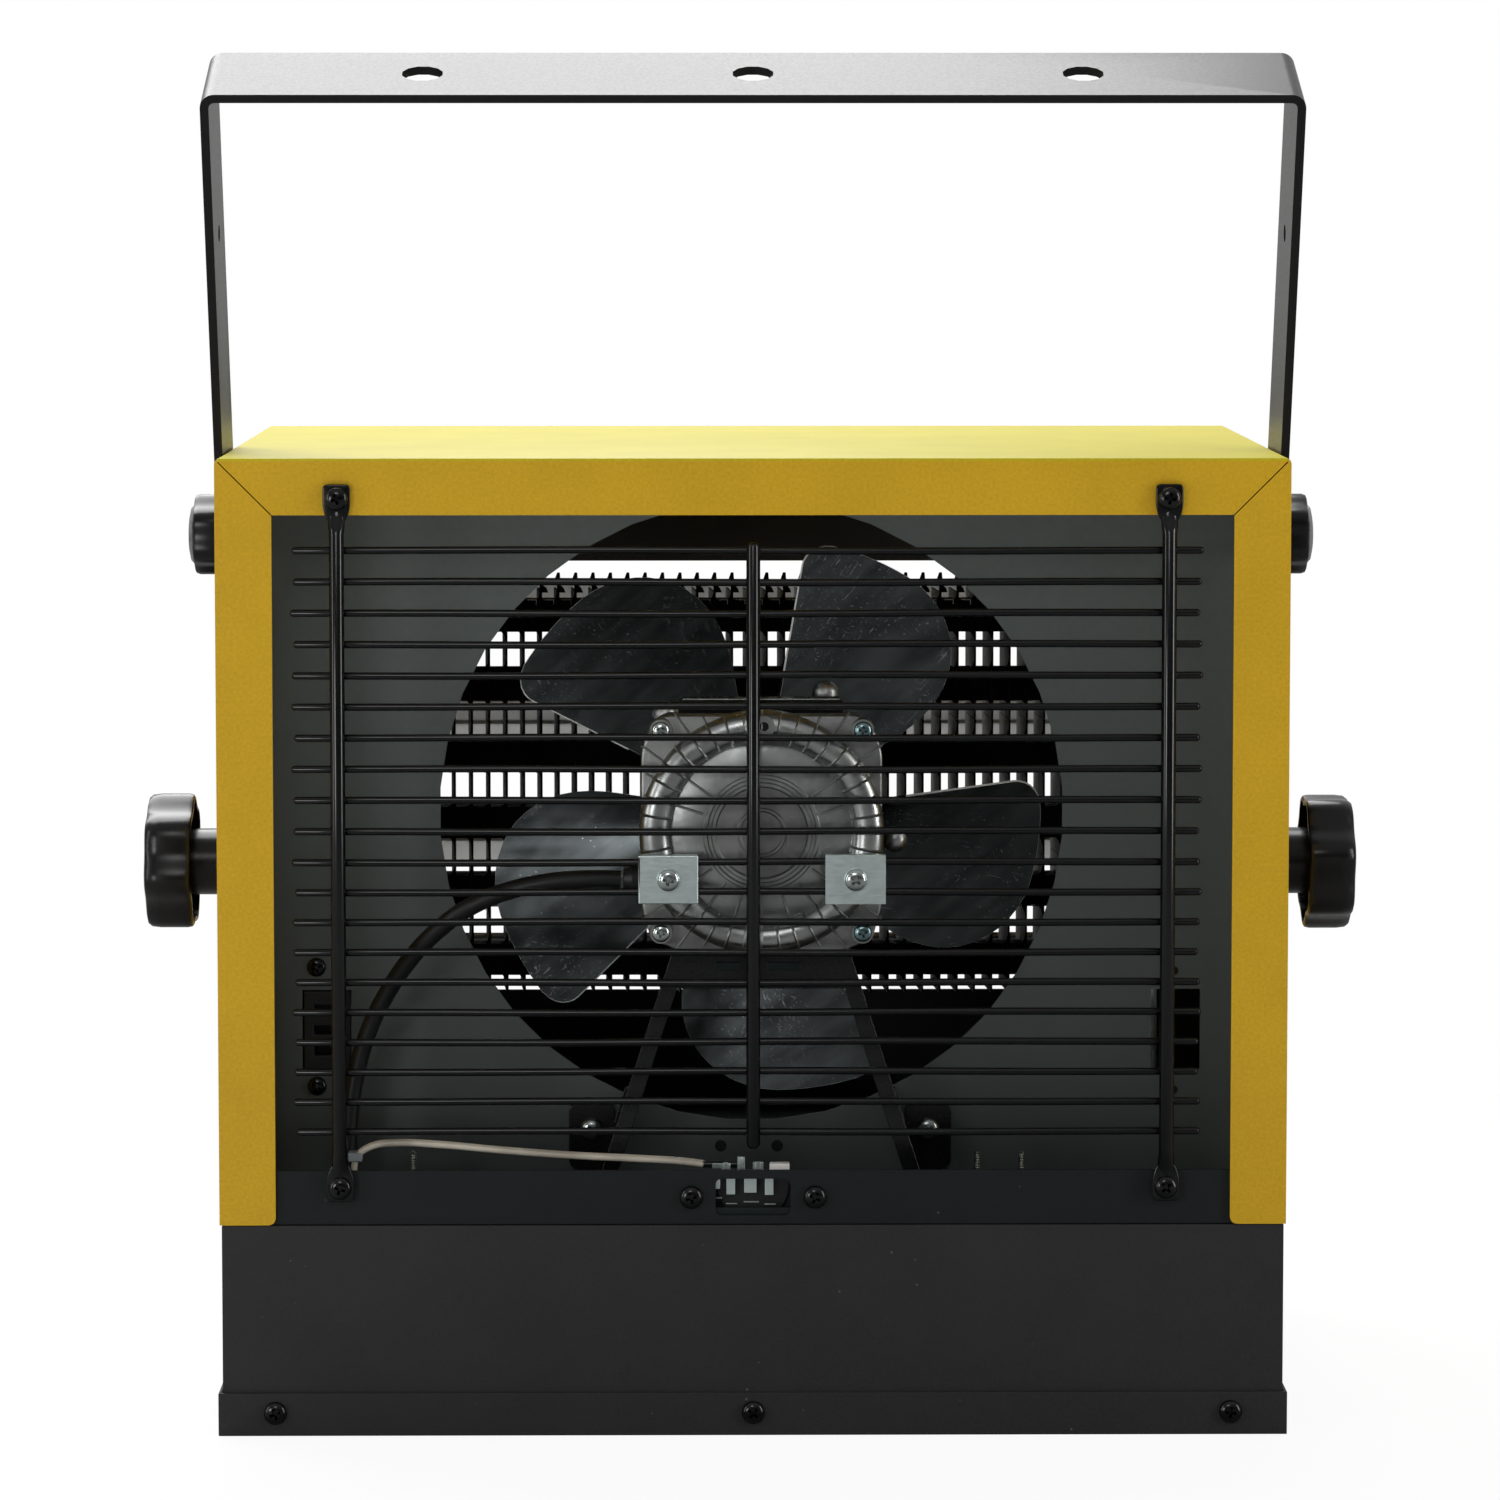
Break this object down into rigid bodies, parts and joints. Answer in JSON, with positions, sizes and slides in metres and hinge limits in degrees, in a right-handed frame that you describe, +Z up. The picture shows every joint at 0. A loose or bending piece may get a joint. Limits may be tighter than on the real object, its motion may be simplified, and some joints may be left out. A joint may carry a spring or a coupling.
{
  "type": "garage heater",
  "caption": "Fan-forced garage heater: a sheet-metal case with a wire guard, motor and fan, finned elements, tilting louvers and a swinging ceiling bracket with clamp knobs.",
  "frame": {"origin": "centre of the base tray's underside", "axes": "+X to the right seen from the intake side, +Y towards the outlet, +Z up"},
  "size_m": [0.4402, 0.2649, 0.4792],
  "materials": {
    "casing_yellow": "satin powder coat",
    "box_black": "matte powder coat",
    "panel_grey": "satin, dark grey",
    "guard_black": "gloss black",
    "yoke_black": "satin black",
    "cast_aluminium": "raw casting",
    "fan_aluminium": "rolled sheet",
    "zinc": "bright zinc plate",
    "steel": "bare laminations and shaft",
    "fin_black": "heat-darkened steel",
    "black_plastic": "fine grained",
    "black_rubber": "smooth",
    "cream_lead": "silicone insulation"
  },
  "bodies": {
    "heater_body": {"outer_casing": "casing_yellow", "chassis_deck": "box_black", "control_box": "box_black", "base_tray": "box_black", "motor_stand": "box_black", "front_panel": "box_black", "fan_panel": "panel_grey", "wire_guard": "guard_black", "tray_screw_left": "guard_black", "tray_screw_centre": "guard_black", "tray_screw_right": "guard_black", "guard_screw_top_left": "guard_black", "guard_screw_top_right": "guard_black", "guard_screw_bottom_left": "guard_black", "guard_screw_bottom_right": "guard_black", "ledge_screw_left": "guard_black", "ledge_screw_right": "guard_black", "motor_rear_bell": "cast_aluminium", "motor_front_bell": "cast_aluminium", "guard_clip_left": "zinc", "guard_clip_right": "zinc", "clip_screw_left": "zinc", "clip_screw_right": "zinc", "stand_screw_left": "zinc", "stand_screw_right": "zinc", "limit_bracket": "zinc", "element_end_plate_left": "zinc", "element_end_plate_right": "zinc", "motor_stator": "steel", "heating_element_top": "fin_black", "heating_element_middle": "fin_black", "heating_element_bottom": "fin_black", "panel_socket": "black_plastic", "limit_switch": "black_plastic", "thermostat_body": "black_plastic", "selector_body": "black_plastic", "terminal_block": "black_plastic", "motor_cable": "black_rubber", "motor_gland": "black_rubber", "cable_grommet": "black_rubber", "supply_grommet": "black_rubber", "limit_lead_rear": "cream_lead", "limit_lead_front": "cream_lead"},
    "fan_rotor": {"fan": "fan_aluminium", "motor_shaft": "steel"},
    "bracket": {"mounting_bracket": "yoke_black"},
    "pivot_knob_left": {"pivot_knob_left": "black_plastic", "pivot_stud_left": "zinc"},
    "lock_knob_left": {"lock_knob_left": "black_plastic", "lock_stud_left": "zinc"},
    "pivot_knob_right": {"pivot_knob_right": "black_plastic", "pivot_stud_right": "zinc"},
    "lock_knob_right": {"lock_knob_right": "black_plastic", "lock_stud_right": "zinc"},
    "louver_1": {"louver_1": "box_black"},
    "louver_2": {"louver_2": "box_black"},
    "louver_3": {"louver_3": "box_black"},
    "louver_4": {"louver_4": "box_black"},
    "thermostat_knob": {"thermostat_knob": "black_plastic"},
    "selector_knob": {"selector_knob": "black_plastic"}
  },
  "joints": [
    {"name": "fan_spin", "type": "hinge", "parent": "heater_body", "child": "fan_rotor", "pos_m": [0.003, -0.058, 0.21], "axis": [0, 1, 0], "continuous": true},
    {"name": "bracket_tilt", "type": "hinge", "parent": "heater_body", "child": "bracket", "pos_m": [0, 0, 0.186], "axis": [1, 0, 0], "range_deg": [-51, 9]},
    {"name": "pivot_knob_left_turn", "type": "hinge", "parent": "heater_body", "child": "pivot_knob_left", "pos_m": [-0.2, 0, 0.186], "axis": [-1, 0, 0], "range_deg": [0, 360]},
    {"name": "lock_knob_left_turn", "type": "hinge", "parent": "bracket", "child": "lock_knob_left", "pos_m": [-0.195, -0.0473, 0.30923], "axis": [-1, 0, 0], "range_deg": [0, 360]},
    {"name": "pivot_knob_right_turn", "type": "hinge", "parent": "heater_body", "child": "pivot_knob_right", "pos_m": [0.2, 0, 0.186], "axis": [1, 0, 0], "range_deg": [0, 360]},
    {"name": "lock_knob_right_turn", "type": "hinge", "parent": "bracket", "child": "lock_knob_right", "pos_m": [0.195, -0.0473, 0.30923], "axis": [1, 0, 0], "range_deg": [0, 360]},
    {"name": "louver_1_tilt", "type": "hinge", "parent": "heater_body", "child": "louver_1", "pos_m": [0, 0.1053, 0.2723], "axis": [1, 0, 0], "range_deg": [-30, 50]},
    {"name": "louver_2_tilt", "type": "hinge", "parent": "heater_body", "child": "louver_2", "pos_m": [0, 0.1053, 0.2271], "axis": [1, 0, 0], "range_deg": [-30, 50]},
    {"name": "louver_3_tilt", "type": "hinge", "parent": "heater_body", "child": "louver_3", "pos_m": [0, 0.1053, 0.1819], "axis": [1, 0, 0], "range_deg": [-30, 50]},
    {"name": "louver_4_tilt", "type": "hinge", "parent": "heater_body", "child": "louver_4", "pos_m": [0, 0.1053, 0.1367], "axis": [1, 0, 0], "range_deg": [-30, 50]},
    {"name": "thermostat_turn", "type": "hinge", "parent": "heater_body", "child": "thermostat_knob", "pos_m": [-0.075, 0.125, 0.04], "axis": [0, -1, 0], "range_deg": [0, 280]},
    {"name": "selector_turn", "type": "hinge", "parent": "heater_body", "child": "selector_knob", "pos_m": [0.075, 0.125, 0.04], "axis": [0, -1, 0], "range_deg": [0, 135]}
  ]
}
